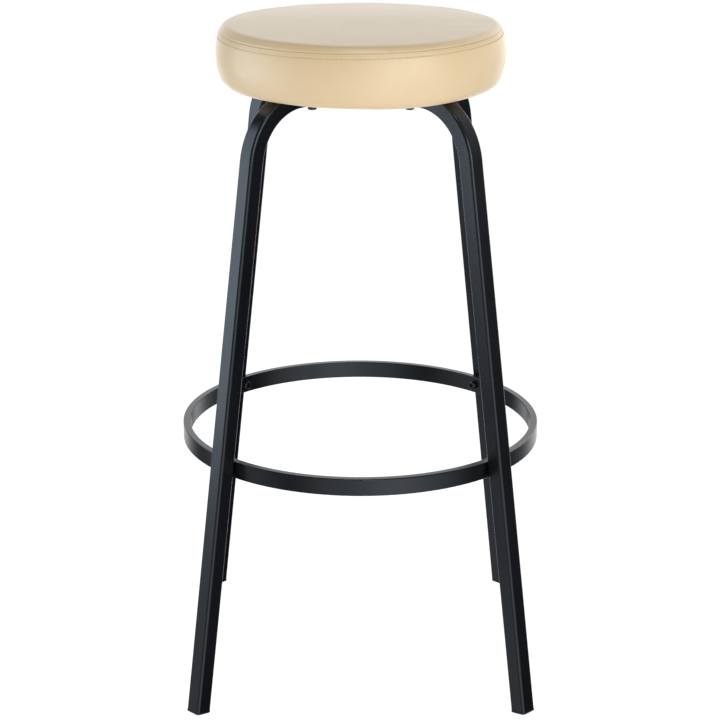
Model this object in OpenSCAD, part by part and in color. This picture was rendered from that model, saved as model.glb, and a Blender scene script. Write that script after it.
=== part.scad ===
// Round padded bar stool with a free-turning seat.
// Four bent square-tube legs on the diagonals, a flat-bar foot ring bolted inside them,
// and a round upholstered seat on a ball-bearing swivel.
// Frame: origin on the floor under the seat's axis, +Z up, the front is -Y.

/* [Frame] */
// Distance from the seat's axis to a leg's centre line at the floor
leg_foot_radius = 264.8; // [258:0.1:275]
// Inward lean of each leg, in degrees
leg_tilt = 8.5082; // [8:0.0001:8.8]
// Height of the arms' top faces above the floor
arm_top = 704.5; // [700:0.5:720]
// Side of the square leg tube
tube_size = 20; // [19:0.5:21]
// Outer corner radius of the leg tube
tube_corner = 3.2; // [2.5:0.1:4]
// Wall of the leg tube
tube_wall = 1.5; // [1.2:0.1:1.8]
// Centre-line radius of the bend between leg and arm
bend_radius = 70; // [66:1:72]

/* [Foot ring] */
// Height of the ring's top edge above the floor
ring_top = 296; // [260:1:320]
// Height of the ring's flat bar
ring_height = 20; // [18:0.5:24]
// Thickness of the ring's flat bar
ring_thickness = 8.5; // [7:0.5:10]
// Height of the socket-head screws' heads
screw_head = 5; // [3.5:0.5:6]

/* [Swivel] */
// Distance from the seat's axis to the outer arm bolts
bolt_radius_outer = 77; // [76:0.5:82]
// Distance from the seat's axis to the inner arm bolts
bolt_radius_inner = 32; // [30:0.5:34]
// Number of bearing balls
ball_count = 12; // [8:1:16]

/* [Seat] */
// Largest radius of the padded seat
seat_radius = 164.4; // [164:0.1:170]
// Rise of the seat's crown above its shoulder
seat_crown = 4; // [3:0.5:8]
// Thickness of the vinyl cover
vinyl = 1.2; // [1:0.1:1.3]
// Thickness of the plywood seat board
board_thickness = 12; // [10:1:14]

/* [Hidden] */
$fn = 96;
e = 0.05;

az_fl = 225; az_fr = 315; az_br = 45; az_bl = 135;
diag = [az_fl, az_fr, az_br, az_bl];

// leg centre line: floor point, bend start, bend centre, arm
arm_z = arm_top - tube_size / 2;
arm_end = 18;
reach = leg_foot_radius - arm_z * tan(leg_tilt);
tang = bend_radius * tan((90 - leg_tilt) / 2);
bs_r = reach + tang * sin(leg_tilt);
bs_z = arm_z - tang * cos(leg_tilt);
bc_r = bs_r - bend_radius * cos(leg_tilt);
bc_z = bs_z - bend_radius * sin(leg_tilt);
straight = bs_z / cos(leg_tilt);

// foot cap: underside square to the leg, with a level facet where it stands
cap_side = tube_size + 0.6;
facet = 5;
cap_s0 = (cap_side / 2 - facet) * tan(leg_tilt);
cap_s1 = cap_s0 + 1.8;
bore_side = tube_size - 2 * tube_wall;
bore_corner = tube_corner - tube_wall;

// ring
ring_ro = leg_foot_radius - ring_top * tan(leg_tilt) - tube_size / 2 / cos(leg_tilt) - 0.05;
ring_ri = ring_ro - ring_thickness;
ring_mid = ring_top - ring_height / 2;
bush_r = 4.5;
bush_len = 14;
ring_bolt_seat = sqrt(ring_ri * ring_ri - 5.3 * 5.3) - 0.02;

// swivel levels
lp_z0 = arm_top;
lp_z1 = lp_z0 + 2;
up_z0 = lp_z1 + 6;
up_z1 = up_z0 + 2;
ball_z = (lp_z1 + up_z0) / 2;
ball_r = 3.175;
track_r = 52;
up_r = 68;
screw_r = 62;

// seat levels
bd_z0 = up_z1;
bd_z1 = bd_z0 + board_thickness;
bd_r = seat_radius - 26.4;
roll_r = 17.2;                 // lower edge roll
roll_c = [seat_radius - 19.9, bd_z0 + 0.5];
side_r = 75;                   // bulge of the side
side_c = [seat_radius - side_r, bd_z0 + 18.5];
sh_r = 9.7;                    // shoulder of the top
sh_c = [seat_radius - 15.1, bd_z0 + 43];
seam_z = sh_c[1] + 2.8;
crown_r = (sh_c[0] * sh_c[0] + seat_crown * seat_crown) / (2 * seat_crown);
crown_cz = sh_c[1] + sh_r + seat_crown - crown_r;
tuck_r = 112;
staple_r = 116;
staple_count = 16;

black = [0.045, 0.047, 0.055];
dark = [0.09, 0.09, 0.1];
plastic = [0.03, 0.03, 0.032];
zinc = [0.62, 0.63, 0.65];
cream = [0.87, 0.76, 0.57];

module rounded_square(a, r) {
  square([a, a - 2 * r], center = true);
  square([a - 2 * r, a], center = true);
  for (x = [-1, 1], y = [-1, 1]) translate([x * (a / 2 - r), y * (a / 2 - r)]) circle(r = r);
}

module tube_section() {
  difference() {
    rounded_square(tube_size, tube_corner);
    rounded_square(bore_side, bore_corner);
  }
}

// local frame of a leg: X radial, Z up
module on_leg_axis() { translate([leg_foot_radius, 0, 0]) rotate([0, -leg_tilt, 0]) children(); }

// the bend starts on the straight's end plane and the arm on the bend's
module leg_tube() translate([bs_r, 0, bs_z]) rotate([0, -leg_tilt, 0]) {
  translate([0, 0, cap_s1 - straight]) linear_extrude(straight - cap_s1) tube_section();
  translate([-bend_radius, 0, 0]) {
    rotate([90, 0, 0]) rotate_extrude(angle = 90 - leg_tilt) translate([bend_radius, 0]) tube_section();
    rotate([0, leg_tilt - 90, 0]) translate([bend_radius, 0, 0]) linear_extrude(bc_r - arm_end) tube_section();
  }
}

module leg(az) color(black) rotate([0, 0, az]) difference() {
  leg_tube();
  for (r = [bolt_radius_inner, bolt_radius_outer])
    translate([r, 0, arm_z - tube_size]) cylinder(r = 3.3, h = 2 * tube_size);
  translate([ring_ro - 2, 0, ring_mid]) rotate([0, 90, 0]) cylinder(r = bush_r + 0.02, h = 12);
}

module foot_cap(az) color(plastic) rotate([0, 0, az]) intersection() {
  on_leg_axis() difference() {
    union() {
      translate([0, 0, cap_s0]) linear_extrude(cap_s1 - cap_s0) rounded_square(cap_side, tube_corner + 0.3);
      translate([0, 0, cap_s1]) linear_extrude(16) rounded_square(bore_side - 0.6, bore_corner);
      for (s = [3, 8, 13]) translate([0, 0, cap_s1 + s]) linear_extrude(1.4) rounded_square(bore_side - 0.1, bore_corner);
    }
    translate([0, 0, cap_s1 + 2]) linear_extrude(20) rounded_square(bore_side - 4.6, 1);
  }
  translate([leg_foot_radius - 50, -50, 0]) cube([100, 100, 100]);
}

module foot_ring() color(black) difference() {
  rotate_extrude() translate([ring_ri, ring_top - ring_height]) {
    translate([0, 1]) square([ring_thickness, ring_height - 2]);
    translate([1, 0]) square([ring_thickness - 2, ring_height]);
    for (x = [1, ring_thickness - 1], y = [1, ring_height - 1]) translate([x, y]) circle(r = 1);
  }
  for (a = diag) rotate([0, 0, a]) translate([ring_ri - 5, 0, ring_mid]) rotate([0, 90, 0]) cylinder(r = 3.3, h = ring_thickness + 10);
}

module ring_bushes() color(dark) for (a = diag) rotate([0, 0, a])
  translate([ring_ro + 0.01, 0, ring_mid]) rotate([0, 90, 0]) difference() {
    cylinder(r = bush_r, h = bush_len);
    translate([0, 0, -1]) cylinder(r = 3.02, h = bush_len + 2);
  }

// socket-head screw along +Z, head below z = 0
module socket_screw(length) {
  difference() {
    rotate_extrude() {
      translate([0, 1.6 - screw_head]) square([5.25, screw_head - 1.6]);
      translate([0, -screw_head]) square([3.65, screw_head]);
      translate([3.65, 1.6 - screw_head]) circle(r = 1.6);
    }
    translate([0, 0, -screw_head - 1]) cylinder(r = 5 / sqrt(3), h = 3.8, $fn = 6);
  }
  cylinder(r = 3, h = length - 0.6);
  translate([0, 0, length - 0.6]) cylinder(r1 = 3, r2 = 2.4, h = 0.6);
}

module ring_bolts() color(dark) for (a = diag) rotate([0, 0, a])
  translate([ring_bolt_seat, 0, ring_mid]) rotate([0, 90, 0]) socket_screw(21);

module arm_bolts() color(dark) for (a = diag, r = [bolt_radius_inner, bolt_radius_outer]) rotate([0, 0, a])
  translate([r, 0, arm_top - tube_size - 1.2]) socket_screw(tube_size + 1.2 + 2 + 5.4);

module arm_washers() color(dark) for (a = diag, r = [bolt_radius_inner, bolt_radius_outer]) rotate([0, 0, a])
  translate([r, 0, arm_top - tube_size - 1.2]) difference() {
    cylinder(r = 6, h = 1.2);
    translate([0, 0, -1]) cylinder(r = 3.2, h = 4);
  }

module arm_nuts() color(zinc) for (a = diag, r = [bolt_radius_inner, bolt_radius_outer]) rotate([0, 0, a])
  translate([r, 0, lp_z1]) difference() {
    intersection() {
      cylinder(r = 10 / sqrt(3), h = 5, $fn = 6);
      translate([0, 0, -3]) cylinder(r1 = 8.8, r2 = 5.0, h = 8);
    }
    translate([0, 0, -1]) cylinder(r = 3.02, h = 8);
  }

module ball_track(r) rotate_extrude() translate([track_r, ball_z]) circle(r = r);

module swivel_lower_plate() color(zinc) difference() {
  translate([0, 0, lp_z0]) linear_extrude(2) rounded_square(150, 12);
  ball_track(ball_r + 0.025);
  translate([0, 0, lp_z0 - 1]) cylinder(r = 8.02, h = 4);
  for (a = diag, r = [bolt_radius_inner, bolt_radius_outer]) rotate([0, 0, a]) translate([r, 0, lp_z0 - 1]) cylinder(r = 3.3, h = 4);
  for (a = [0, 90, 180, 270]) rotate([0, 0, a]) translate([screw_r, 0, lp_z0 - 1]) cylinder(r = 5.5, h = 4);
}

module swivel_rivet() color(zinc) difference() {
  union() {
    translate([0, 0, lp_z0 - 1.2]) cylinder(r = 11, h = 1.2);
    translate([0, 0, lp_z0 - 0.2]) cylinder(r = 8, h = up_z1 - lp_z0 + 0.4);
    translate([0, 0, up_z1 + 0.1]) cylinder(r = 11, h = 1.2);
  }
  translate([0, 0, lp_z0 - 2]) cylinder(r = 6, h = 20);
}

module swivel_cage() color([0.75, 0.6, 0.3]) difference() {
  rotate_extrude() translate([track_r - 5.5, ball_z - 0.5]) square([11, 1]);
  for (i = [0 : ball_count - 1]) rotate([0, 0, i * 360 / ball_count]) translate([track_r, 0, ball_z - 2]) cylinder(r = ball_r + 0.05, h = 4);
}

module swivel_balls() color([0.8, 0.8, 0.82]) for (i = [0 : ball_count - 1])
  rotate([0, 0, i * 360 / ball_count]) translate([track_r, 0, ball_z]) sphere(r = ball_r, $fn = 48);

module swivel_upper_plate() color(zinc) difference() {
  translate([0, 0, up_z0]) cylinder(r = up_r, h = 2);
  ball_track(ball_r + 0.025);
  translate([0, 0, up_z0 - 1]) cylinder(r = 8.08, h = 4);
  for (a = [0, 90, 180, 270]) rotate([0, 0, a]) translate([screw_r, 0, up_z0 - 1]) cylinder(r = 2.6, h = 4);
}

module plate_screws() color(zinc) for (a = [0, 90, 180, 270]) rotate([0, 0, a]) translate([screw_r, 0, up_z0]) {
  difference() {
    intersection() {
      translate([0, 0, -2.4]) cylinder(r = 4, h = 2.4);
      translate([0, 0, 2.4]) sphere(r = 4.8);
    }
    for (b = [0, 90]) rotate([0, 0, b]) translate([-2.2, -0.4, -3]) cube([4.4, 0.8, 1.8]);
  }
  cylinder(r = 2.2, h = 9);
  translate([0, 0, 9]) cylinder(r1 = 2.2, r2 = 0.4, h = 3);
}

module staple_set() for (i = [0 : staple_count - 1]) rotate([0, 0, (i + 0.5) * 360 / staple_count]) {
  translate([staple_r - 0.5, -5, bd_z0 - vinyl - 1.2]) cube([1, 10, 0.6]);
  for (y = [-5, 4.4]) translate([staple_r - 0.5, y, bd_z0 - vinyl - 1.2]) cube([1, 0.6, 9]);
}

module seat_board() color([0.78, 0.62, 0.42]) difference() {
  translate([0, 0, bd_z0]) cylinder(r = bd_r, h = board_thickness);
  translate([0, 0, bd_z0 - 1]) cylinder(r = 15, h = board_thickness + 2);
  for (a = [0, 90, 180, 270]) rotate([0, 0, a]) translate([screw_r, 0, bd_z0 - 1]) cylinder(r = 2.22, h = 10.9);
  staple_set();
}

// half profile of the padded seat, drawn inwards by o
module seat_profile(o) {
  translate(roll_c) circle(r = roll_r - o);
  intersection() {
    translate(side_c) circle(r = side_r - o);
    translate([bd_r - 6, roll_c[1]]) square([60, seam_z - roll_c[1] - 0.3]);
  }
  translate([0, roll_c[1]]) square([roll_c[0], sh_c[1] - roll_c[1]]);
  translate(sh_c) circle(r = sh_r - o);
  translate([0, sh_c[1] - 1]) square([sh_c[0], sh_r + 1 - o - 0.01]);
  intersection() {
    translate([0, crown_cz]) circle(r = crown_r - o, $fn = 720);
    translate([0, sh_c[1] - 1]) square([sh_c[0] - 0.001, 60]);
  }
}

module seat_foam() color([0.9, 0.86, 0.7]) rotate_extrude() intersection() {
  difference() {
    seat_profile(vinyl + e);
    translate([-1, bd_z0 - 60]) square([bd_r + 1.1, 60 + board_thickness + 0.01]);
  }
  translate([0, 0]) square([300, 900]);
}

module cover_section() {
  difference() {
    seat_profile(0);
    seat_profile(vinyl);
    translate([-1, bd_z0 - 60]) square([roll_c[0], 60 + board_thickness]);
  }
  intersection() {
    difference() {
      translate(roll_c) circle(r = roll_r);
      translate(roll_c) circle(r = roll_r - vinyl);
    }
    translate([100, bd_z0 - 60]) square([roll_c[0] - 99, 60]);
  }
}

module seat_top_panel() color(cream) rotate_extrude() intersection() {
  cover_section();
  translate([0, seam_z]) square([300, 60]);
}

module seat_side_band() color(cream) difference() {
  rotate_extrude() {
    intersection() {
      cover_section();
      translate([100, 0]) square([300, seam_z - 0.05]);
    }
    translate([tuck_r, bd_z0 - vinyl]) square([roll_c[0] - roll_r + vinyl / 2 - tuck_r, vinyl]);
  }
  staple_set();
}

module dust_cover() color([0.08, 0.08, 0.085]) difference() {
  translate([0, 0, bd_z0 - vinyl - 0.6]) cylinder(r = 121, h = 0.6);
  translate([0, 0, bd_z0 - vinyl - 2]) cylinder(r = 72, h = 4);
  staple_set();
}

module staples() color(zinc) staple_set();

leg(az_fl);  // leg_front_left
leg(az_fr);  // leg_front_right
leg(az_bl);  // leg_back_left
leg(az_br);  // leg_back_right
foot_cap(az_fl);  // foot_cap_front_left
foot_cap(az_fr);  // foot_cap_front_right
foot_cap(az_bl);  // foot_cap_back_left
foot_cap(az_br);  // foot_cap_back_right
foot_ring();
ring_bushes();
ring_bolts();
arm_bolts();
arm_washers();
arm_nuts();
swivel_lower_plate();
swivel_rivet();
swivel_cage();
swivel_balls();
swivel_upper_plate();
plate_screws();
seat_board();
seat_foam();
seat_side_band();
seat_top_panel();
dust_cover();
staples();
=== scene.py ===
"""Looks of a round padded bar stool with a free-turning seat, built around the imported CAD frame."""

import math

import bmesh
import bpy
import numpy as np
from mathutils import Matrix, Vector


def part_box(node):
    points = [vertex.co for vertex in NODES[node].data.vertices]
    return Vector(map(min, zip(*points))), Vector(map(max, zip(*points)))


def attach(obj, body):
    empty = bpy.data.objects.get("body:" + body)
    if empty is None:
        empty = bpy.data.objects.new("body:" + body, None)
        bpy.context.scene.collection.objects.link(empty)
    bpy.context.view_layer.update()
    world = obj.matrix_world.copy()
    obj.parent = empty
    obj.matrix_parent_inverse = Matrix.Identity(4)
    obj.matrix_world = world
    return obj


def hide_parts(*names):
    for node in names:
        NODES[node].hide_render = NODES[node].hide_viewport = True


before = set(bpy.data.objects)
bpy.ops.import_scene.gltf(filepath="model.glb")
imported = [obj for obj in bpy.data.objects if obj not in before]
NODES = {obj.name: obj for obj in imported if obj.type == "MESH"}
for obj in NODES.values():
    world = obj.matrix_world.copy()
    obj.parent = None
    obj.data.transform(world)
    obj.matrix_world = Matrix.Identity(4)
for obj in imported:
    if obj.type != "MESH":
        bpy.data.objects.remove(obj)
bpy.context.view_layer.update()
SCENE = bpy.context.scene
RNG = np.random.default_rng(7)

# ---------------------------------------------------------------- camera and stage


def make_camera():
    pitch, yaw, roll = 0.31877, 0.00527, 0.00124
    fwd = Vector((math.sin(yaw) * math.cos(pitch), math.cos(yaw) * math.cos(pitch), -math.sin(pitch)))
    right0 = fwd.cross(Vector((0, 0, 1))).normalized()
    up0 = right0.cross(fwd)
    right = math.cos(roll) * right0 + math.sin(roll) * up0
    up = -math.sin(roll) * right0 + math.cos(roll) * up0
    data = bpy.data.cameras.new("camera")
    data.sensor_width = 36.0
    data.lens = 113.8
    data.clip_start, data.clip_end = 0.05, 60.0
    cam = bpy.data.objects.new("camera", data)
    SCENE.collection.objects.link(cam)
    cam.matrix_world = Matrix(
        (
            (right.x, up.x, -fwd.x, -0.0139),
            (right.y, up.y, -fwd.y, -2.5560),
            (right.z, up.z, -fwd.z, 1.2092),
            (0, 0, 0, 1),
        )
    )
    SCENE.camera = cam


make_camera()


class Tree:
    """A node tree with short calls."""

    def __init__(self, tree):
        self.tree = tree
        tree.nodes.clear()

    def add(self, kind, inputs=None, **props):
        node = self.tree.nodes.new(kind)
        for key, value in props.items():
            setattr(node, key, value)
        for key, value in (inputs or {}).items():
            socket = node.inputs[key]
            if isinstance(value, bpy.types.NodeSocket):
                self.tree.links.new(value, socket)
            else:
                socket.default_value = value
        return node

    def link(self, a, b):
        self.tree.links.new(a, b)

    def math(self, op, a, b=None, c=None, clamp=False):
        node = self.tree.nodes.new("ShaderNodeMath")
        node.operation = op
        node.use_clamp = clamp
        for k, value in enumerate((a, b, c)):
            if value is None:
                continue
            if isinstance(value, bpy.types.NodeSocket):
                self.tree.links.new(value, node.inputs[k])
            else:
                node.inputs[k].default_value = value
        return node.outputs[0]

    def ramp(self, fac, stops):
        node = self.tree.nodes.new("ShaderNodeValToRGB")
        self.tree.links.new(fac, node.inputs[0])
        ramp = node.color_ramp
        while len(ramp.elements) < len(stops):
            ramp.elements.new(0.5)
        for element, (position, colour) in zip(ramp.elements, stops):
            element.position = position
            element.color = (*colour, 1.0) if len(colour) == 3 else colour
        return node.outputs[0]

    def span(self, value, a, b, c, d, smooth=False):
        node = self.tree.nodes.new("ShaderNodeMapRange")
        node.interpolation_type = "SMOOTHSTEP" if smooth else "LINEAR"
        self.tree.links.new(value, node.inputs["Value"])
        node.inputs["From Min"].default_value = a
        node.inputs["From Max"].default_value = b
        node.inputs["To Min"].default_value = c
        node.inputs["To Max"].default_value = d
        return node.outputs[0]

    def mix(self, fac, a, b, blend="MIX"):
        node = self.tree.nodes.new("ShaderNodeMix")
        node.data_type = "RGBA"
        node.blend_type = blend
        for index, value in ((0, fac), (6, a), (7, b)):
            if isinstance(value, bpy.types.NodeSocket):
                self.tree.links.new(value, node.inputs[index])
            elif index == 0:
                node.inputs[index].default_value = value
            else:
                node.inputs[index].default_value = (*value, 1.0)
        return node.outputs[2]

    def noise(self, vector, scale, detail=3.0, rough=0.55, distortion=0.0):
        node = self.add(
            "ShaderNodeTexNoise",
            {"Scale": scale, "Detail": detail, "Roughness": rough, "Distortion": distortion},
        )
        self.tree.links.new(vector, node.inputs["Vector"])
        return node.outputs["Fac"]

    def bump(self, height, strength, distance, normal=None):
        node = self.add("ShaderNodeBump", {"Strength": strength, "Distance": distance})
        self.tree.links.new(height, node.inputs["Height"])
        if normal is not None:
            self.tree.links.new(normal, node.inputs["Normal"])
        return node.outputs[0]

    def stretch(self, vector, scale):
        node = self.add("ShaderNodeMapping", {"Scale": scale})
        self.tree.links.new(vector, node.inputs["Vector"])
        return node.outputs[0]


def material(name, build, base=(0.5, 0.5, 0.5), rough=0.5, metallic=0.0, **sockets):
    """A Principled material: build(tree, object coordinates, shader) adds its procedural detail."""
    mat = bpy.data.materials.new(name)
    mat.use_nodes = True
    t = Tree(mat.node_tree)
    out = t.add("ShaderNodeOutputMaterial")
    shader = t.add("ShaderNodeBsdfPrincipled")
    t.link(shader.outputs[0], out.inputs["Surface"])
    shader.inputs["Base Color"].default_value = (*base, 1.0)
    shader.inputs["Roughness"].default_value = rough
    shader.inputs["Metallic"].default_value = metallic
    for key, value in sockets.items():
        shader.inputs[key.replace("_", " ")].default_value = value
    where = t.add("ShaderNodeTexCoord").outputs["Object"]
    build(t, where, shader)
    return mat


# ---------------------------------------------------------------- materials


def build_powder(t, where, shader):
    fine = t.noise(where, 1500.0, 2.0, 0.5)
    peel = t.noise(where, 420.0, 2.0, 0.5)
    broad = t.noise(where, 9.0, 3.0, 0.5)
    speck = t.noise(where, 2600.0, 1.0, 0.5)
    colour = t.ramp(broad, [(0.3, (0.0022, 0.0027, 0.0038)), (0.7, (0.0036, 0.0042, 0.0056))])
    colour = t.mix(t.span(speck, 0.66, 0.8, 0.0, 0.5), colour, (0.010, 0.011, 0.014))
    t.link(colour, shader.inputs["Base Color"])
    t.link(t.math("ADD", t.span(broad, 0.3, 0.7, 0.255, 0.295), t.span(fine, 0.3, 0.7, -0.02, 0.02)), shader.inputs["Roughness"])
    n = t.bump(peel, 0.09, 0.00045)
    t.link(t.bump(fine, 0.16, 0.00012, n), shader.inputs["Normal"])


def build_plastic(t, where, shader):
    fine = t.noise(where, 1900.0, 3.0, 0.6)
    broad = t.noise(where, 30.0, 2.0, 0.5)
    t.link(t.ramp(broad, [(0.3, (0.010, 0.010, 0.011)), (0.7, (0.017, 0.017, 0.018))]), shader.inputs["Base Color"])
    t.link(t.span(fine, 0.25, 0.75, 0.46, 0.6), shader.inputs["Roughness"])
    t.link(t.bump(fine, 0.25, 0.00015), shader.inputs["Normal"])


def build_screw(t, where, shader):
    fine = t.noise(where, 1100.0, 3.0, 0.6)
    broad = t.noise(where, 90.0, 2.0, 0.5)
    t.link(t.ramp(broad, [(0.3, (0.040, 0.042, 0.047)), (0.7, (0.075, 0.077, 0.083))]), shader.inputs["Base Color"])
    t.link(t.span(fine, 0.25, 0.75, 0.12, 0.22), shader.inputs["Roughness"])
    t.link(t.bump(fine, 0.12, 0.0001), shader.inputs["Normal"])


def build_zinc(t, where, shader):
    streak = t.noise(t.stretch(where, (40.0, 900.0, 900.0)), 1.0, 3.0, 0.6)
    cloud = t.noise(where, 60.0, 3.0, 0.6, 0.4)
    colour = t.ramp(cloud, [(0.3, (0.56, 0.58, 0.61)), (0.55, (0.66, 0.67, 0.69)), (0.75, (0.70, 0.69, 0.64))])
    t.link(colour, shader.inputs["Base Color"])
    t.link(t.math("ADD", t.span(cloud, 0.3, 0.7, 0.27, 0.36), t.span(streak, 0.3, 0.7, -0.05, 0.05)), shader.inputs["Roughness"])
    t.link(t.bump(streak, 0.10, 0.00012), shader.inputs["Normal"])


def build_polished(t, where, shader):
    scratch = t.noise(t.stretch(where, (900.0, 3000.0, 1800.0)), 1.0, 2.0, 0.5)
    t.link(t.ramp(scratch, [(0.3, (0.70, 0.70, 0.72)), (0.7, (0.78, 0.78, 0.79))]), shader.inputs["Base Color"])
    t.link(t.span(scratch, 0.3, 0.7, 0.07, 0.14), shader.inputs["Roughness"])


def build_brass(t, where, shader):
    cloud = t.noise(where, 80.0, 3.0, 0.6)
    fine = t.noise(where, 1600.0, 2.0, 0.5)
    t.link(t.ramp(cloud, [(0.3, (0.62, 0.43, 0.17)), (0.7, (0.76, 0.56, 0.25))]), shader.inputs["Base Color"])
    t.link(t.span(fine, 0.3, 0.7, 0.27, 0.38), shader.inputs["Roughness"])
    t.link(t.bump(fine, 0.10, 0.0001), shader.inputs["Normal"])


def build_plywood(t, where, shader):
    xyz = t.add("ShaderNodeSeparateXYZ", {"Vector": where})
    # veneers along Z
    layer = t.math("FRACT", t.math("MULTIPLY", t.math("SUBTRACT", xyz.outputs["Z"], 0.7145), 1.0 / 0.0048))
    grain_a = t.noise(t.stretch(where, (9.0, 240.0, 500.0)), 1.0, 4.0, 0.6, 0.6)
    grain_b = t.noise(t.stretch(where, (240.0, 9.0, 500.0)), 1.0, 4.0, 0.6, 0.6)
    pores = t.noise(t.stretch(where, (160.0, 2600.0, 2600.0)), 1.0, 2.0, 0.5)
    across = t.span(layer, 0.47, 0.53, 0.0, 1.0)
    tone_a = t.ramp(grain_a, [(0.25, (0.47, 0.32, 0.17)), (0.5, (0.62, 0.46, 0.28)), (0.75, (0.70, 0.55, 0.36))])
    tone_b = t.ramp(grain_b, [(0.25, (0.36, 0.24, 0.13)), (0.75, (0.52, 0.38, 0.23))])
    colour = t.mix(across, tone_a, tone_b)
    colour = t.mix(t.span(pores, 0.62, 0.75, 0.0, 0.5), colour, (0.28, 0.18, 0.09))
    t.link(colour, shader.inputs["Base Color"])
    t.link(t.span(grain_a, 0.3, 0.7, 0.55, 0.72), shader.inputs["Roughness"])
    t.link(t.bump(t.math("ADD", grain_a, t.math("MULTIPLY", pores, 0.6)), 0.25, 0.0003), shader.inputs["Normal"])


def build_vinyl(t, where, shader):
    cells = t.add("ShaderNodeTexVoronoi", {"Scale": 780.0, "Randomness": 1.0}, feature="DISTANCE_TO_EDGE")
    warp = t.add("ShaderNodeTexNoise", {"Scale": 260.0, "Detail": 2.0})
    t.link(where, warp.inputs["Vector"])
    moved = t.add("ShaderNodeMix", {"Factor": 0.0012}, data_type="VECTOR")
    t.link(where, moved.inputs[4])
    t.link(warp.outputs["Color"], moved.inputs[5])
    t.link(moved.outputs[1], cells.inputs["Vector"])
    crease = t.span(cells.outputs["Distance"], 0.0, 0.22, 0.0, 1.0, smooth=True)
    pore = t.noise(where, 2400.0, 2.0, 0.5)
    broad = t.noise(where, 7.0, 3.0, 0.5, 0.3)
    mid = t.noise(where, 48.0, 3.0, 0.55, 0.2)
    colour = t.ramp(broad, [(0.30, (0.775, 0.590, 0.345)), (0.70, (0.810, 0.635, 0.395))])
    colour = t.mix(t.span(mid, 0.35, 0.75, 0.0, 0.20), colour, (0.740, 0.560, 0.335))
    # painted shade: the grain's low creases are a little darker
    colour = t.mix(t.span(crease, 0.0, 0.5, 0.10, 0.0), colour, (0.60, 0.44, 0.25))
    # painted shade: darker inside the seam's groove and along the stitched lines
    groove_shade = t.add("ShaderNodeAttribute", attribute_name="groove").outputs["Fac"]
    colour = t.mix(t.span(groove_shade, 0.0, 1.0, 0.0, 0.55), colour, (0.52, 0.37, 0.19))
    t.link(colour, shader.inputs["Base Color"])
    t.link(t.math("ADD", t.span(mid, 0.3, 0.7, 0.36, 0.43), t.span(crease, 0.0, 1.0, 0.05, 0.0)), shader.inputs["Roughness"])
    height = t.math("ADD", t.math("MULTIPLY", crease, 0.75), t.math("MULTIPLY", pore, 0.3))
    soft = t.bump(t.noise(where, 36.0, 2.0, 0.5), 0.18, 0.0022)
    t.link(t.bump(height, 0.16, 0.00013, soft), shader.inputs["Normal"])


def build_thread(t, where, shader):
    twist = t.noise(t.stretch(where, (2600.0, 2600.0, 5200.0)), 1.0, 2.0, 0.6)
    broad = t.noise(where, 60.0, 2.0, 0.5)
    colour = t.ramp(broad, [(0.3, (0.56, 0.40, 0.22)), (0.7, (0.66, 0.49, 0.29))])
    colour = t.mix(t.span(twist, 0.45, 0.7, 0.0, 0.5), colour, (0.46, 0.32, 0.17))
    t.link(colour, shader.inputs["Base Color"])
    t.link(t.span(twist, 0.3, 0.7, 0.5, 0.7), shader.inputs["Roughness"])
    t.link(t.bump(twist, 0.5, 0.00015), shader.inputs["Normal"])


def build_felt(t, where, shader):
    fibre_a = t.noise(t.stretch(where, (260.0, 2200.0, 900.0)), 1.0, 3.0, 0.6, 1.2)
    fibre_b = t.noise(t.stretch(where, (2200.0, 260.0, 900.0)), 1.0, 3.0, 0.6, 1.2)
    dots = t.add("ShaderNodeTexVoronoi", {"Scale": 420.0, "Randomness": 0.12}, feature="F1")
    t.link(where, dots.inputs["Vector"])
    dimple = t.span(dots.outputs["Distance"], 0.15, 0.45, 0.0, 1.0, smooth=True)
    both = t.math("MAXIMUM", fibre_a, fibre_b)
    colour = t.ramp(both, [(0.4, (0.014, 0.014, 0.015)), (0.75, (0.040, 0.040, 0.042))])
    # painted shade: darker down in the dimples
    colour = t.mix(t.span(dimple, 0.0, 1.0, 0.5, 0.0), colour, (0.009, 0.009, 0.010))
    t.link(colour, shader.inputs["Base Color"])
    t.link(t.span(both, 0.4, 0.8, 0.75, 0.95), shader.inputs["Roughness"])
    t.link(t.bump(t.math("ADD", both, t.math("MULTIPLY", dimple, 0.8)), 0.5, 0.0004), shader.inputs["Normal"])


POWDER = material(
    "black_powder_coat", build_powder, rough=0.36, IOR=1.5, Specular_IOR_Level=0.66, Specular_Tint=(0.80, 0.90, 1.0, 1.0)
)
PLASTIC = material("black_plastic", build_plastic, rough=0.5, IOR=1.46)
SCREW = material("black_screws", build_screw, rough=0.34, metallic=0.85)
ZINC = material("zinc_steel", build_zinc, rough=0.3, metallic=1.0)
POLISHED = material("polished_steel", build_polished, rough=0.1, metallic=1.0)
BRASS = material("brass", build_brass, rough=0.3, metallic=1.0)
PLYWOOD = material("plywood", build_plywood, rough=0.6)
VINYL = material("cream_vinyl", build_vinyl, rough=0.4, IOR=1.5, Coat_Weight=0.45, Coat_Roughness=0.3, Coat_IOR=1.5)
THREAD = material("stitch_thread", build_thread, rough=0.6)
FELT = material("black_felt", build_felt, rough=0.85, Sheen_Weight=0.25, Sheen_Roughness=0.4)

CAD_LOOKS = {
    POWDER: ["leg_front_left", "leg_front_right", "leg_back_left", "leg_back_right", "foot_ring"],
    PLASTIC: ["foot_cap_front_left", "foot_cap_front_right", "foot_cap_back_left", "foot_cap_back_right"],
    SCREW: ["ring_bushes", "ring_bolts", "arm_bolts", "arm_washers"],
    ZINC: ["arm_nuts", "swivel_lower_plate", "swivel_rivet", "swivel_upper_plate", "plate_screws", "staples"],
    BRASS: ["swivel_cage"],
    POLISHED: ["swivel_balls"],
    PLYWOOD: ["seat_board"],
}
for look, names in CAD_LOOKS.items():
    for name in names:
        node = NODES[name]
        if not node.material_slots:
            node.data.materials.append(look)
        for s in node.material_slots:
            s.material = look

# ---------------------------------------------------------------- seat cushion

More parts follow.
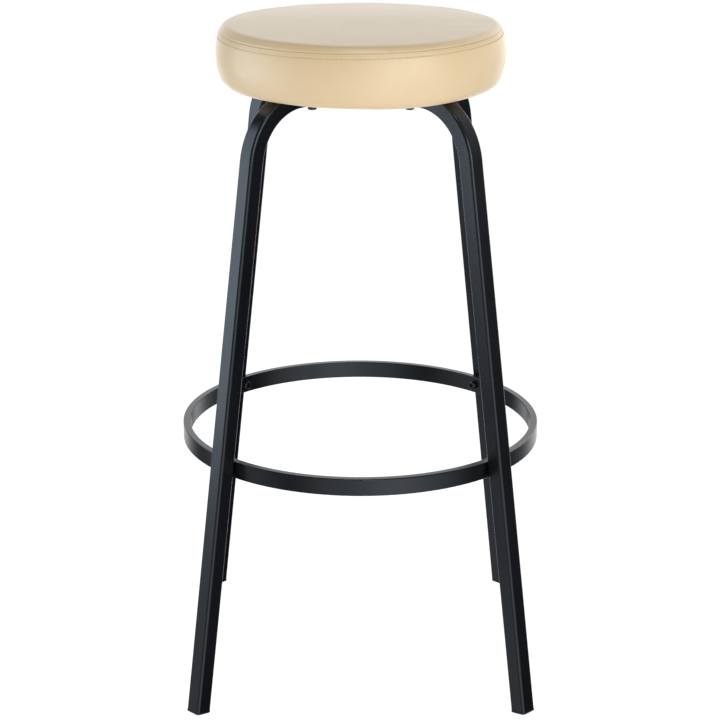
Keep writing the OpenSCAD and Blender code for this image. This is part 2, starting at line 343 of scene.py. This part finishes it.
band_lo, band_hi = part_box("seat_side_band")
panel_lo, panel_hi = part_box("seat_top_panel")
board_lo, board_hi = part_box("seat_board")
SEAT_R = (band_hi.x - band_lo.x) / 2
BOARD_R = (board_hi.x - board_lo.x) / 2
BOARD_Z0, BOARD_Z1 = board_lo.z, board_hi.z
CROWN_Z = panel_hi.z
SEAM_Z = panel_lo.z
ROLL_R = 0.0172
ROLL_C = (SEAT_R - 0.0199, BOARD_Z0 + 0.0005)
SIDE_R = 0.075
SIDE_C = (SEAT_R - SIDE_R, BOARD_Z0 + 0.0185)
SH_R = 0.0097
SH_C = (SEAT_R - 0.0151, BOARD_Z0 + 0.043)
TUCK_R = 0.112
TUCK_Z = BOARD_Z0 - 0.0012
SEAM_SLIDE = 0.0021
BACK_DIP = 0.0032


def arc(centre, radius, a0, a1, n):
    a = np.radians(np.linspace(a0, a1, n))
    return np.stack([centre[0] + radius * np.cos(a), centre[1] + radius * np.sin(a)], 1)


def cover_line():
    """Half profile of the cover, from the tucked edge round the side to the crown's centre, as (r, z)."""
    tuck = np.stack([np.linspace(TUCK_R, ROLL_C[0] - ROLL_R - 0.003, 12), np.full(12, TUCK_Z)], 1)
    turn = arc((ROLL_C[0] - ROLL_R - 0.003, TUCK_Z - 0.003), 0.003, 85, 5, 10)
    roll = arc(ROLL_C, ROLL_R, 196, 341.5, 70)
    side = arc(SIDE_C, SIDE_R, -18, 22, 70)
    shoulder = arc(SH_C, SH_R, 24, 84, 40)
    top_r = SH_C[0]
    rise = CROWN_Z - (SH_C[1] + SH_R)
    big = (top_r**2 + rise**2) / (2 * rise)
    rr = np.linspace(top_r, 0, 90)[1:]
    crown = np.stack([rr, CROWN_Z - big + np.sqrt(big**2 - rr**2)], 1)
    line = np.concatenate([tuck, turn, roll, side, shoulder, crown])
    # even steps, then a light smoothing of the joins
    s = np.concatenate([[0], np.cumsum(np.linalg.norm(np.diff(line, axis=0), axis=1))])
    even = np.arange(0, s[-1], 0.0004)
    line = np.stack([np.interp(even, s, line[:, k]) for k in (0, 1)], 1)
    width = 4
    for k in (0, 1):
        pad = np.concatenate([np.full(width, line[0, k]), line[:, k], np.full(width, line[-1, k])])
        line[:, k] = np.convolve(pad, np.ones(2 * width + 1) / (2 * width + 1), "valid")
    line[-1, 0] = 0.0
    s = np.concatenate([[0], np.cumsum(np.linalg.norm(np.diff(line, axis=0), axis=1))])
    return s, line


S_LINE, LINE = cover_line()
S_END = S_LINE[-1]
_upper = LINE[:, 1] > BOARD_Z0 + 0.03
SEAM_S = float(np.interp(SEAM_Z, LINE[_upper, 1], S_LINE[_upper]))


def on_line(s):
    """Points and outward normals of the cover line at lengths s."""
    s = np.asarray(s, float)
    p = np.stack([np.interp(s, S_LINE, LINE[:, k]) for k in (0, 1)], -1)
    h = 0.0008
    q = np.stack([np.interp(np.clip(s + h, 0, S_END), S_LINE, LINE[:, k]) for k in (0, 1)], -1)
    o = np.stack([np.interp(np.clip(s - h, 0, S_END), S_LINE, LINE[:, k]) for k in (0, 1)], -1)
    d = q - o
    d /= np.linalg.norm(d, axis=-1, keepdims=True)
    return p, np.stack([d[..., 1], -d[..., 0]], -1)


def slide(s, angle):
    """How far the cover is shifted along its line: the panel's seam runs very slightly higher on the right."""
    u = np.interp(s, [SEAM_S - 0.045, SEAM_S - 0.009, SEAM_S + 0.008, SEAM_S + 0.045], [0.0, 1.0, 1.0, 0.0])
    return SEAM_SLIDE * np.cos(angle) * u * u * (3 - 2 * u)


def warp(co):
    """The foam is a touch thinner at the back."""
    w = np.clip((co[:, 2] - BOARD_Z0 - 0.012) / 0.03, 0, 1)
    w = w * w * (3 - 2 * w)
    v = np.clip(co[:, 1] / SEAT_R, 0, 1)
    out = co.copy()
    out[:, 2] -= BACK_DIP * v * v * (3 - 2 * v) * w
    return out


def new_object(name, verts, faces, mat, smooth=True):
    mesh = bpy.data.meshes.new(name)
    mesh.from_pydata([tuple(map(float, v)) for v in verts], [], [tuple(int(i) for i in f) for f in faces])
    mesh.validate()
    if smooth:
        mesh.polygons.foreach_set("use_smooth", [True] * len(mesh.polygons))
    mesh.materials.append(mat)
    mesh.update()
    obj = bpy.data.objects.new(name, mesh)
    SCENE.collection.objects.link(obj)
    return obj


SIM_A = 192


def swell():
    """Cloth under pressure, held at the staples and along the seam: gives how the cover puckers and swells.
    Returned is the offset along the cover line's normal, per place along the line and angle, with the round mean taken out."""
    s = np.concatenate([np.arange(0, SEAM_S, 0.0052), [SEAM_S], np.arange(SEAM_S + 0.005, S_END - 0.004, 0.0058)])
    p, n = on_line(s)
    angles = np.arange(SIM_A) * 2 * math.pi / SIM_A
    drift = np.zeros((len(s), SIM_A))
    for k in range(2, 15):
        amp = 0.00045 / (1 + 0.25 * k)
        phase = RNG.uniform(0, 2 * math.pi, 3)
        drift += amp * np.cos(k * angles[None, :] + phase[0] + 2.0 * np.sin(s[:, None] * 40 + phase[1]))
    rest = p[:, None, :] - n[:, None, :] * (0.0022 + drift[..., None])
    co = np.stack(
        [rest[..., 0] * np.cos(angles), rest[..., 0] * np.sin(angles), rest[..., 1]], -1
    ).reshape(-1, 3)
    faces = []
    rows = len(s)
    for i in range(rows - 1):
        for j in range(SIM_A):
            k = (j + 1) % SIM_A
            faces.append((i * SIM_A + j, i * SIM_A + k, (i + 1) * SIM_A + k, (i + 1) * SIM_A + j))
    obj = new_object("cover_sim", co, faces, VINYL)
    pins = obj.vertex_groups.new(name="held")
    per = SIM_A // 16
    seam_row = int(np.argmin(abs(s - SEAM_S)))
    for j in range(SIM_A):
        near = abs((j % per) - per / 2)
        pins.add([j], 1.0 if near <= 1 else 0.25, "REPLACE")
        pins.add([SIM_A + j], 0.8 if near <= 1 else 0.0, "REPLACE")
        pins.add([seam_row * SIM_A + j], 0.45, "REPLACE")
        pins.add([(rows - 1) * SIM_A + j], 1.0, "REPLACE")
    cloth = obj.modifiers.new("cloth", "CLOTH")
    st = cloth.settings
    st.quality = 5
    st.mass = 0.35
    st.tension_stiffness = 22
    st.compression_stiffness = 22
    st.shear_stiffness = 12
    st.bending_stiffness = 1.2
    st.use_pressure = True
    st.uniform_pressure_force = 4.0
    st.vertex_group_mass = "held"
    st.pin_stiffness = 1.0
    st.effector_weights.gravity = 0
    cloth.point_cache.frame_start, cloth.point_cache.frame_end = 1, 20
    SCENE.frame_start, SCENE.frame_end = 1, 20
    for f in range(1, 21):
        SCENE.frame_set(f)
    dg = bpy.context.evaluated_depsgraph_get()
    ev = obj.evaluated_get(dg)
    got = np.zeros(len(co) * 3, np.float32)
    ev.data.vertices.foreach_get("co", got)
    got = got.reshape(-1, 3).astype(float)
    SCENE.frame_set(1)
    bpy.data.objects.remove(obj, do_unlink=True)
    got = got.reshape(rows, SIM_A, 3)
    r = got[..., 0] * np.cos(angles) + got[..., 1] * np.sin(angles)
    out = (r - p[:, None, 0]) * n[:, None, 0] + (got[..., 2] - p[:, None, 1]) * n[:, None, 1]
    out -= out.mean(1, keepdims=True)
    return s, out


SIM_S, SIM_OFF = swell()
print("cover swell, mm: min %.3f max %.3f" % (SIM_OFF.min() * 1000, SIM_OFF.max() * 1000))
# flat under the dust cover; the roll keeps most of its puckers; the side and the tight top only a breath of them
_w = np.interp(SIM_S, [0.011, 0.030, SEAM_S - 0.062, SEAM_S - 0.040, SEAM_S - 0.008, SEAM_S, SEAM_S + 0.02, SEAM_S + 0.08, S_END],
               [0.0, 0.7, 0.8, 0.30, 0.22, 0.16, 0.13, 0.08, 0.0])
SIM_OFF = np.clip(SIM_OFF, -0.003, 0.003) * _w[:, None]
for _i in range(len(SIM_S)):           # short waves can't run over the foam: smooth them more towards the middle
    _keep = int(np.interp(SIM_S[_i], [0, SEAM_S - 0.05, SEAM_S, S_END], [48, 24, 14, 3]))
    _f = np.fft.rfft(SIM_OFF[_i])
    _f[_keep:] = 0
    SIM_OFF[_i] = np.fft.irfft(_f, SIM_A)
print("cover swell kept, mm: rows", np.round(np.abs(SIM_OFF).max(1)[::6] * 1000, 2).tolist())


def sim_offset(s, angle):
    """The simulated swell at lengths s and angles, both arrays of one shape."""
    i = np.interp(s, SIM_S, np.arange(len(SIM_S)))
    i0 = np.clip(i.astype(int), 0, len(SIM_S) - 2)
    fi = i - i0
    j = (angle / (2 * math.pi) * SIM_A) % SIM_A
    j0 = j.astype(int) % SIM_A
    fj = j - np.floor(j)
    fj = fj * fj * (3 - 2 * fj)
    j1 = (j0 + 1) % SIM_A
    a = SIM_OFF[i0, j0] * (1 - fj) + SIM_OFF[i0, j1] * fj
    b = SIM_OFF[i0 + 1, j0] * (1 - fj) + SIM_OFF[i0 + 1, j1] * fj
    return a * (1 - fi) + b * fi


STITCHES = 201
ROW_MAIN = 0.0060      # below the seam, along the cover
ROW_FINE = 0.0027


def relief(s, angle):
    """Height of the cover's small forms at lengths s and angles: the seam's groove, the folded allowance, the stitched lines."""
    u = (SEAM_S - s) * 1000.0          # mm below the seam
    groove = -0.55 * np.exp(-((u / 0.50) ** 2))
    puff_top = 0.30 * np.exp(-(((u + 2.2) / 1.6) ** 2))
    flap = 0.30 / (1 + np.exp(-(u - 0.7) * 4)) / (1 + np.exp((u - 5.6) * 3.2))
    phase = angle * STITCHES
    bite = 0.5 + 0.5 * np.cos(phase)   # 1 between two stitches, where the needle goes in
    main = -(0.08 + 0.30 * bite) * np.exp(-(((u - ROW_MAIN * 1000) / 0.75) ** 2))
    fine = -(0.08 + 0.07 * (0.5 + 0.5 * np.cos(phase * 1.0 + 1.0))) * np.exp(-(((u - ROW_FINE * 1000) / 0.45) ** 2))
    pull = 0.10 * (1 - bite) * np.exp(-(((u - 7.6) / 1.3) ** 2))
    return (groove + puff_top + flap + main + fine + pull) / 1000.0


# where shade is painted into the vinyl's colour: the seam's groove and the dents of the stitched lines
def groove_shade_mask(s, angle):
    u = (SEAM_S - s) * 1000.0
    bite = 0.5 + 0.5 * np.cos(angle * STITCHES)
    return (
        np.exp(-((u / 0.55) ** 2))
        + (0.25 + 0.45 * bite) * np.exp(-(((u - ROW_MAIN * 1000) / 0.55) ** 2))
        + 0.22 * np.exp(-(((u - ROW_FINE * 1000) / 0.4) ** 2))
    )


def surface(s, angle, lift=0.0):
    """Points on the finished cover."""
    p, n = on_line(s + slide(s, angle))
    off = relief(s, angle) + sim_offset(s, angle) + lift
    r = p[..., 0] + n[..., 0] * off
    z = p[..., 1] + n[..., 1] * off
    return np.stack([r * np.cos(angle), r * np.sin(angle), z], -1)


def make_cushion():
    fine = STITCHES * 4
    mid = STITCHES
    # places along the cover, from the tucked edge to the crown
    below = np.concatenate([
        np.linspace(0.0, 0.014, 5),
        np.linspace(0.016, SEAM_S - 0.0105, 46),
    ])
    band = SEAM_S - np.concatenate([
        np.arange(0.0098, 0.0066, -0.0006), np.arange(0.0066, 0.0048, -0.0003), np.arange(0.0048, 0.0012, -0.0004),
        np.arange(0.0012, -0.0012, -0.0002), np.arange(-0.0012, -0.0062, -0.0006),
    ])
    over = np.linspace(SEAM_S + 0.0068, SEAM_S + 0.020, 12)
    rows = np.concatenate([below, band, over])
    verts, faces, mask = [], [], []

    def ring(s, count):
        a = np.arange(count) * 2 * math.pi / count
        ss = np.full(count, s)
        first = sum(len(v) for v in verts)
        verts.append(surface(ss, a))
        mask.append(groove_shade_mask(ss, a))
        return first

    def join(a, b, count):
        for j in range(count):
            k = (j + 1) % count
            faces.append((a + j, a + k, b + k, b + j))

    def narrow(a, b, coarse, ratio):
        for j in range(coarse):
            k = (j + 1) % coarse
            fine_ones = [a + (j * ratio + m) % (coarse * ratio) for m in range(ratio + 1)]
            faces.append((*fine_ones, b + k, b + j))

    first = ring(rows[0], fine)
    last = first
    for s in rows[1:]:
        here = ring(s, fine)
        join(last, here, fine)
        last = here
    crown = np.linspace(SEAM_S + 0.0225, S_END - 0.022, 24)
    here = ring(crown[0], mid)
    narrow(last, here, mid, 4)
    last = here
    for s in crown[1:]:
        here = ring(s, mid)
        join(last, here, mid)
        last = here
    inner = mid // 3
    cap = np.linspace(S_END - 0.0185, S_END - 0.003, 5)
    here = ring(cap[0], inner)
    narrow(last, here, inner, 3)
    last = here
    for s in cap[1:]:
        here = ring(s, inner)
        join(last, here, inner)
        last = here
    top = sum(len(v) for v in verts)
    verts.append(surface(np.array([S_END]), np.array([0.0])))
    mask.append(np.zeros(1))
    for j in range(inner):
        faces.append((last + j, last + (j + 1) % inner, top))

    # the inside face: along the board's underside, up its edge and over its top
    gap = 0.00012
    inside = [
        (TUCK_R, BOARD_Z0 - gap), ((TUCK_R + BOARD_R) / 2, BOARD_Z0 - gap), (BOARD_R + gap, BOARD_Z0 - gap),
        (BOARD_R + gap, (BOARD_Z0 + BOARD_Z1) / 2), (BOARD_R + gap, BOARD_Z1 + gap), (BOARD_R * 0.6, BOARD_Z1 + gap),
    ]
    a = np.arange(fine) * 2 * math.pi / fine
    last = first
    for r, z in inside:
        here = sum(len(v) for v in verts)
        verts.append(np.stack([r * np.cos(a), r * np.sin(a), np.full(fine, z)], 1))
        mask.append(np.zeros(fine))
        for j in range(fine):
            k = (j + 1) % fine
            faces.append((last + k, last + j, here + j, here + k))
        last = here
    here = sum(len(v) for v in verts)
    verts.append(np.array([[0, 0, BOARD_Z1 + gap]]))
    mask.append(np.zeros(1))
    for j in range(fine):
        faces.append((last + (j + 1) % fine, last + j, here))

    co = warp(np.concatenate(verts))
    obj = new_object("seat_cushion", co, faces, VINYL)
    bm = bmesh.new()
    bm.from_mesh(obj.data)
    bmesh.ops.recalc_face_normals(bm, faces=bm.faces)
    bm.to_mesh(obj.data)
    bm.free()
    # mask of the painted shade in the seam's groove and along the stitched lines
    attribute = obj.data.attributes.new("groove", "FLOAT", "POINT")
    attribute.data.foreach_set("value", np.clip(np.concatenate(mask), 0, 1).astype(np.float32))
    return obj


def make_stitches(name, row, count, length, radius, sink, slant, sides=6, steps=7, phase=0.5):
    """One row of separate lock stitches: each a short twisted thread that dives in at both ends."""
    verts, faces = [], []
    t = np.linspace(-1, 1, steps)
    for i in range(count):
        a0 = (i + phase) * 2 * math.pi / count
        wobble = RNG.normal(0, 1, 3)
        half = length / 2 * (1 + 0.04 * wobble[0])
        mid_r = float(on_line(SEAM_S - row)[0][0])
        a = a0 + t * half / mid_r
        s = SEAM_S - row + (slant * t + 0.00006 * wobble[1]) * 1.0
        lift = radius * 0.55 - (np.abs(t) ** 3.2) * sink
        path = surface(s, a, lift)
        base = surface(s, a, lift + 0.001)
        up = base - path
        up /= np.linalg.norm(up, axis=1, keepdims=True)
        along = np.gradient(path, axis=0)
        along /= np.linalg.norm(along, axis=1, keepdims=True)
        side = np.cross(along, up)
        side /= np.linalg.norm(side, axis=1, keepdims=True)
        first = len(verts)
        swell_ = radius * (1.0 - 0.28 * np.abs(t) ** 4)
        for m in range(steps):
            for q in range(sides):
                w = 2 * math.pi * q / sides + 0.25 * m
                verts.append(path[m] + swell_[m] * (math.cos(w) * side[m] + math.sin(w) * up[m]))
        for m in range(steps - 1):
            for q in range(sides):
                k = (q + 1) % sides
                faces.append((first + m * sides + q, first + m * sides + k, first + (m + 1) * sides + k, first + (m + 1) * sides + q))
        faces.append(tuple(first + q for q in reversed(range(sides))))
        faces.append(tuple(first + (steps - 1) * sides + q for q in range(sides)))
    obj = new_object(name, warp(np.array(verts)), faces, THREAD)
    bm = bmesh.new()
    bm.from_mesh(obj.data)
    bmesh.ops.recalc_face_normals(bm, faces=bm.faces)
    bm.to_mesh(obj.data)
    bm.free()
    return obj


cushion = make_cushion()
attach(cushion, "seat")
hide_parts("seat_foam", "seat_side_band", "seat_top_panel")

stitch_main = make_stitches("seat_topstitch", ROW_MAIN, STITCHES, 0.0036, 0.00034, 0.0007, 0.00018)
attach(stitch_main, "seat")
stitch_fine = make_stitches("seat_seam_stitch", ROW_FINE, STITCHES, 0.0020, 0.00016, 0.00035, 0.00004, phase=0.34)
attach(stitch_fine, "seat")


# ---------------------------------------------------------------- dust cover under the seat


def make_dust_cover():
    lo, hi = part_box("dust_cover")
    r_out = (hi.x - lo.x) / 2
    r_in = 0.0722
    z0 = lo.z + 0.00008
    z1 = hi.z - 0.00008
    staples = 16
    cols = staples * 12
    rows = 14
    a = np.arange(cols) * 2 * math.pi / cols
    verts = []
    for i in range(rows):
        f = i / (rows - 1)
        # the outer edge draws in a little between two staples
        held = 0.5 - 0.5 * np.cos(a * staples)
        edge = r_out - 0.0016 * (1 - held) * f**3
        r = r_in + (edge - r_in) * f
        slack = (1 - held) * math.sin(math.pi * min(1.0, 0.15 + 0.85 * f)) * 0.00022
        ripple = 0.00006 * np.cos(a * staples * 2 + 3 * f) * f
        z = (z0 + z1) / 2 + slack * -1.0 + ripple
        verts.append(np.stack([r * np.cos(a), r * np.sin(a), z], 1))
    faces = []
    for i in range(rows - 1):
        for j in range(cols):
            k = (j + 1) % cols
            faces.append((i * cols + j, i * cols + k, (i + 1) * cols + k, (i + 1) * cols + j))
    obj = new_object("dust_cover_cloth", np.concatenate(verts), faces, FELT)
    solid = obj.modifiers.new("thickness", "SOLIDIFY")
    solid.thickness = 0.0003
    solid.offset = 0.0
    dg = bpy.context.evaluated_depsgraph_get()
    mesh = bpy.data.meshes.new_from_object(obj.evaluated_get(dg))
    obj.modifiers.clear()
    obj.data = mesh
    obj.data.name = "dust_cover_cloth"
    return obj, math.pi * (r_out**2 - r_in**2), 2 * r_out


dust, dust_area, dust_side = make_dust_cover()
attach(dust, "seat")
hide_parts("dust_cover")


# ---------------------------------------------------------------- floor, world and lights


def make_floor():
    size = 14.0
    cells = 8
    verts = [
        (-size + 2 * size * i / cells, -size + 2 * size * j / cells, 0.0)
        for j in range(cells + 1) for i in range(cells + 1)
    ]
    faces = [
        (j * (cells + 1) + i, j * (cells + 1) + i + 1, (j + 1) * (cells + 1) + i + 1, (j + 1) * (cells + 1) + i)
        for j in range(cells) for i in range(cells)
    ]
    mat = bpy.data.materials.new("studio_floor")
    mat.use_nodes = True
    t = Tree(mat.node_tree)
    out = t.add("ShaderNodeOutputMaterial")
    where = t.add("ShaderNodeTexCoord").outputs["Object"]
    tone = t.ramp(t.noise(where, 3.0, 2.0), [(0.3, (0.40, 0.40, 0.40)), (0.7, (0.42, 0.42, 0.42))])
    diffuse = t.add("ShaderNodeBsdfDiffuse", {"Color": tone})
    glow = t.add("ShaderNodeEmission", {"Color": (1, 1, 1, 1), "Strength": 0.90})
    both = t.add("ShaderNodeAddShader")
    t.link(diffuse.outputs[0], both.inputs[0])
    t.link(glow.outputs[0], both.inputs[1])
    # nothing of the floor shows from underneath
    clear = t.add("ShaderNodeBsdfTransparent")
    back = t.add("ShaderNodeNewGeometry").outputs["Backfacing"]
    pick = t.add("ShaderNodeMixShader")
    t.link(back, pick.inputs[0])
    t.link(both.outputs[0], pick.inputs[1])
    t.link(clear.outputs[0], pick.inputs[2])
    t.link(pick.outputs[0], out.inputs["Surface"])
    obj = new_object("floor", verts, faces, mat, smooth=False)
    obj.visible_glossy = False
    return obj


make_floor()


def make_world():
    world = bpy.data.worlds.new("studio")
    world.use_nodes = True
    t = Tree(world.node_tree)
    out = t.add("ShaderNodeOutputWorld")
    where = t.add("ShaderNodeTexCoord").outputs["Generated"]
    unit = t.add("ShaderNodeVectorMath", {0: where}, operation="NORMALIZE").outputs[0]
    total = None

    def lobe(direction, a, b, strength):
        nonlocal total
        d = Vector(direction).normalized()
        dot = t.add("ShaderNodeVectorMath", {0: unit, 1: tuple(d)}, operation="DOT_PRODUCT").outputs["Value"]
        value = t.span(dot, math.cos(math.radians(a)), math.cos(math.radians(b)), 0.0, strength, smooth=True)
        total = value if total is None else t.math("ADD", total, value)

    for args in WORLD_LOBES:
        lobe(*args)
    total = t.math("ADD", total, WORLD_BASE)
    back = t.add("ShaderNodeBackground", {"Color": (1, 1, 1, 1)})
    t.link(total, back.inputs["Strength"])
    t.link(back.outputs[0], out.inputs["Surface"])
    SCENE.world = world


WORLD_BASE = 0.012
# direction, angle where it starts and where it is full, strength
WORLD_LOBES = [
    ((0.05, 1.0, 0.28), 62, 18, 0.88),     # the bright backdrop behind
    ((0.0, 1.0, -0.35), 50, 15, 0.80),     # its foot
    ((0.9, 0.7, 0.3), 45, 15, 0.60),       # its brighter right end
    ((-1.0, -0.1, -0.45), 40, 10, 0.45),   # the pale sweep on the left
    ((0.0, -1.0, -0.5), 45, 15, 0.50),     # the pale sweep on the camera's side
    ((0.55, -0.8, -0.31), 40, 10, 0.55),   # and on its right
    ((0.25, -1.0, 0.12), 75, 20, 0.26),    # the room on the camera's side
]
make_world()


def area(name, place, target, size, power, size_y=None, spread=180, colour=(1, 1, 1)):
    data = bpy.data.lights.new(name, "AREA")
    data.energy = power
    data.color = colour
    data.shape = "RECTANGLE"
    data.size = size
    data.size_y = size_y or size
    data.spread = math.radians(spread)
    obj = bpy.data.objects.new(name, data)
    SCENE.collection.objects.link(obj)
    obj.location = place
    obj.rotation_mode = "QUATERNION"
    obj.rotation_quaternion = (Vector(target) - Vector(place)).to_track_quat("-Z", "Y")
    return obj


area("key_right", (1.9, -2.7, 1.55), (0, 0, 0.70), 2.6, 43, 2.0)
area("fill_left", (-1.7, 0.10, 0.88), (0, 0.0, 0.80), 1.2, 12, 1.7, colour=(0.87, 0.97, 1.10))
area("top_front", (0.0, -0.9, 2.6), (0, -0.1, 0.3), 0.5, 9, 0.5)

SCENE.view_settings.view_transform = "Standard"
SCENE.view_settings.look = "None"
SCENE.view_settings.exposure = 0.0
SCENE.view_settings.gamma = 1.0

bpy.context.view_layer.update()
